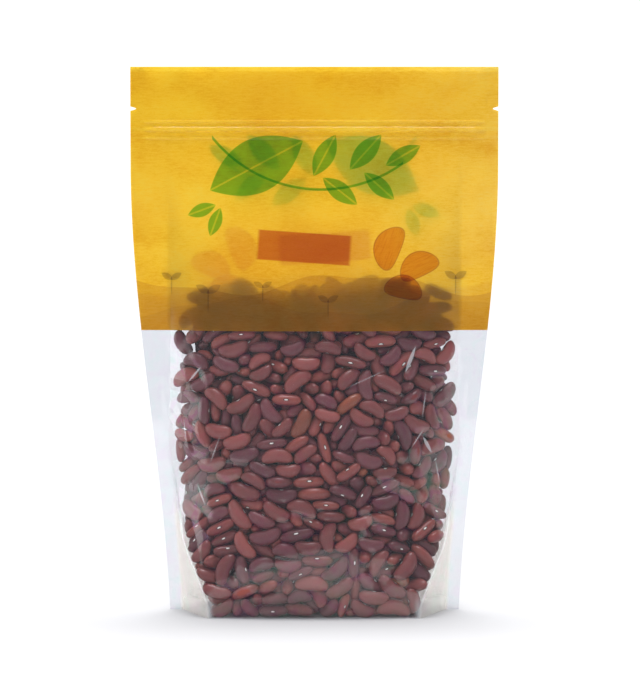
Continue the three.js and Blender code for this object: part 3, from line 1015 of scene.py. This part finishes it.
# beans deeper than this behind the film are left out, as the core hides them
SHOWN_DEPTH = 23.0
# those near the core's top and near the floor are all kept
SHOWN_ABOVE = 10.0
SHOWN_BELOW = 12.0


# painted shade: a near-black colour for the beans deep in the heap
def shade_core_material():
    g = material_graph("heap_shade_core")
    noise = g.noise(g.add("ShaderNodeTexCoord").outputs["Object"], 150.0)
    colour = g.ramp(noise, [(0.3, (0.02, 0.007, 0.007)), (0.7, (0.045, 0.015, 0.014))])
    return g.finish(g.shader("ShaderNodeBsdfDiffuse", Color=colour))


def make_shade_core(material):
    """The heap's inside as a dark sheet of painted shade, behind the beans that show."""
    heights = spaced(CORE_BOTTOM, CORE_TOP, 8)
    shares = np.linspace(-1, 1, CORE_COLUMNS)
    points = []
    for z in heights:
        reach = hermite(REACH_STATIONS, z) - CORE_INSET
        x = shares * reach
        depth = np.maximum(film_depth(np.abs(x), z) - CORE_INSET, 2.0)
        ring = np.stack([x, -depth, np.full_like(x, z)], 1)
        points += [ring, ring[::-1] * (1, -1, 1)]
    rows, count = len(heights), 2 * CORE_COLUMNS
    a = np.arange(count)
    first = np.arange(rows - 1)[:, None] * count
    b = np.roll(a, -1)
    sides = np.stack([a + first, b + first, b + first + count, a + first + count], -1).reshape(-1, 4)
    k = np.arange(CORE_COLUMNS - 1)
    top = (rows - 1) * count
    lid = np.stack([k, k + 1, count - 2 - k, count - 1 - k], 1)
    faces = np.concatenate([sides, lid[:, ::-1], lid + top])
    piece = new_object("heap_shade_core", np.concatenate(points), faces, [material])
    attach(piece, "root")


# Stage
def make_floor():
    g = material_graph("floor")
    where = g.add("ShaderNodeTexCoord").outputs["Object"]
    shade = g.ramp(g.noise(where, 3.0, 2.0), [(0.3, (0.42, 0.42, 0.43)), (0.7, (0.44, 0.44, 0.45))])
    material = g.finish(g.shader("ShaderNodeBsdfDiffuse", Color=shade))
    left, right, front, back = -900.0, 3000.0, -1500.0, 60000.0
    points = [(left, front, 0), (right, front, 0), (back, back, 0), (-back, back, 0)]
    new_object("floor", points, np.array([(0, 1, 2, 3)]), [material], False)


DIM_ROOM = (0.25, 0.275, 0.32)
CEILING = (0.5, 0.5, 0.51)
SURROUNDINGS = (1.07, 1.07, 1.07)
BACKDROP = (1.16, 1.16, 1.16)
SIDE_STRIP = (2.0, 2.05, 2.1)


def make_world():
    """White surroundings, with a dim room in front, a grey ceiling and a bright strip on the left."""
    world = bpy.data.worlds.new("studio")
    bpy.context.scene.world = world
    g = Graph(world)
    direction = g.split(g.add("ShaderNodeTexCoord").outputs["Generated"])
    ahead = g.math("MULTIPLY_ADD", direction["Y"], -4.0, -0.2, clamp=True)
    central = g.math("MINIMUM", g.math("MULTIPLY_ADD", direction["X"], -25.0, 24.4, clamp=True),
                     g.math("MULTIPLY_ADD", direction["X"], 25.0, 23.2, clamp=True))
    below = g.math("MULTIPLY_ADD", direction["Z"], -4.0, 3.4, clamp=True)
    dim = g.math("MULTIPLY", g.math("MULTIPLY", ahead, central), below)
    high = g.math("MULTIPLY_ADD", direction["Z"], 4.0, -1.2, clamp=True)
    behind = g.math("MULTIPLY_ADD", direction["Y"], 4.0, -0.4, clamp=True)
    strip = g.math("MULTIPLY_ADD", direction["X"], -25.0, -22.2, clamp=True)
    around = g.mix(strip, g.mix(behind, SURROUNDINGS, BACKDROP), SIDE_STRIP)
    colour = g.mix(dim, g.mix(high, around, CEILING), DIM_ROOM)
    g.finish(g.shader("ShaderNodeBackground", Color=colour), "ShaderNodeOutputWorld")


# name, elevation and azimuth in degrees, strength, angle of the disc in degrees, seen in reflections
SUNS = (
    ("overhead", 83.0, 180.0, 5.2, 30.0, True),
    ("behind", 15.0, 180.0, 1.0, 60.0, False),
    ("fill", 26.0, -6.0, 1.85, 70.0, False),
)


def add_sun(name, elevation, azimuth, strength, angle, mirrored):
    light = bpy.data.lights.new(name, "SUN")
    light.energy = strength
    light.angle = math.radians(angle)
    lamp = bpy.data.objects.new(name, light)
    lamp.visible_glossy = mirrored
    e, a = math.radians(elevation), math.radians(azimuth)
    towards = Vector((math.sin(a) * math.cos(e), -math.cos(a) * math.cos(e), math.sin(e)))
    lamp.rotation_euler = towards.to_track_quat("Z", "Y").to_euler()
    bpy.context.scene.collection.objects.link(lamp)


# in metres, and the lens in millimetres
CAMERA_PLACE = Vector((0.0033, -1.3, 0.211))
CAMERA_AIM = Vector((0.0033, 0.0, 0.1564))
CAMERA_LENS = 115.0


def add_camera():
    data = bpy.data.cameras.new("camera")
    data.sensor_width = 36.0
    data.lens = CAMERA_LENS
    data.clip_end = 100.0
    camera = bpy.data.objects.new("camera", data)
    camera.location = CAMERA_PLACE
    camera.rotation_euler = (CAMERA_AIM - CAMERA_PLACE).to_track_quat("-Z", "Y").to_euler()
    bpy.context.scene.collection.objects.link(camera)
    bpy.context.scene.camera = camera


add_camera()
make_floor()
make_world()
for sun in SUNS:
    add_sun(*sun)
bpy.context.scene.view_settings.view_transform = "Standard"

packed = pack_beans()
centres, place, radii = packed[0], packed[4], packed[5]
depth, _, _ = depth_and_slope(centres[:, 0], centres[:, 2])
near_side = np.abs(centres[:, 0]) > hermite(REACH_STATIONS, centres[:, 2]) - SHOWN_DEPTH
near_film = np.abs(centres[:, 1]) > depth - SHOWN_DEPTH
near_end = (centres[:, 2] > CORE_TOP - SHOWN_ABOVE) | (centres[:, 2] < SHOWN_BELOW)
shown = np.nonzero(near_film | near_side | near_end)[0]
print("beans shown", len(shown), "of", BEAN_COUNT)
kinds = np.random.default_rng(5).uniform(size=BEAN_COUNT)[shown]
red = bean_material("bean_red", (0.13, 0.028, 0.028), (0.31, 0.074, 0.062))
dark = bean_material("bean_dark", (0.092, 0.021, 0.027), (0.205, 0.053, 0.06))
brown = bean_material("bean_brown", (0.17, 0.042, 0.024), (0.33, 0.092, 0.042))
is_red, is_brown = kinds < RED_SHARE, kinds >= RED_SHARE + DARK_SHARE
make_beans("beans_red", shown[is_red], packed, red)
make_beans("beans_dark", shown[~is_red & ~is_brown], packed, dark)
make_beans("beans_brown", shown[is_brown], packed, brown)
make_shade_core(shade_core_material())

gaps = {side: bean_gaps(place, radii, side) for side in (-1, 1)}
clear_material = film_material(
    "clear_film", tint=(0.89, 0.9, 0.918), veil_tint=(0.86, 0.88, 0.92), haze=0.01, marked=True)
low_rows = np.unique(np.concatenate([spaced(0, 60, 1.2), spaced(60, PRINT_EDGE_HEIGHT, 1.8)]))
clear_film = film_sheet("clear_film", low_rows, 121, clear_material, gaps)
notch_rows = NOTCH_HEIGHT + np.linspace(-0.5, 0.5, 7) * NOTCH_OPENING
high_rows = np.unique(np.round(np.concatenate([
    spaced(PRINT_EDGE_HEIGHT, 275, 2.2), spaced(275, 291, 0.4), notch_rows,
    spaced(291, 294, 1.5), spaced(297.2, POUCH_HEIGHT, 2.2)]), 3))
film_sheet("printed_film", high_rows, 101, print_material(), gaps)
make_gusset(film_material(
    "gusset_film", tint=(0.97, 0.955, 0.925), veil_tint=(0.95, 0.93, 0.87), haze=0.08))
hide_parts("pouch")
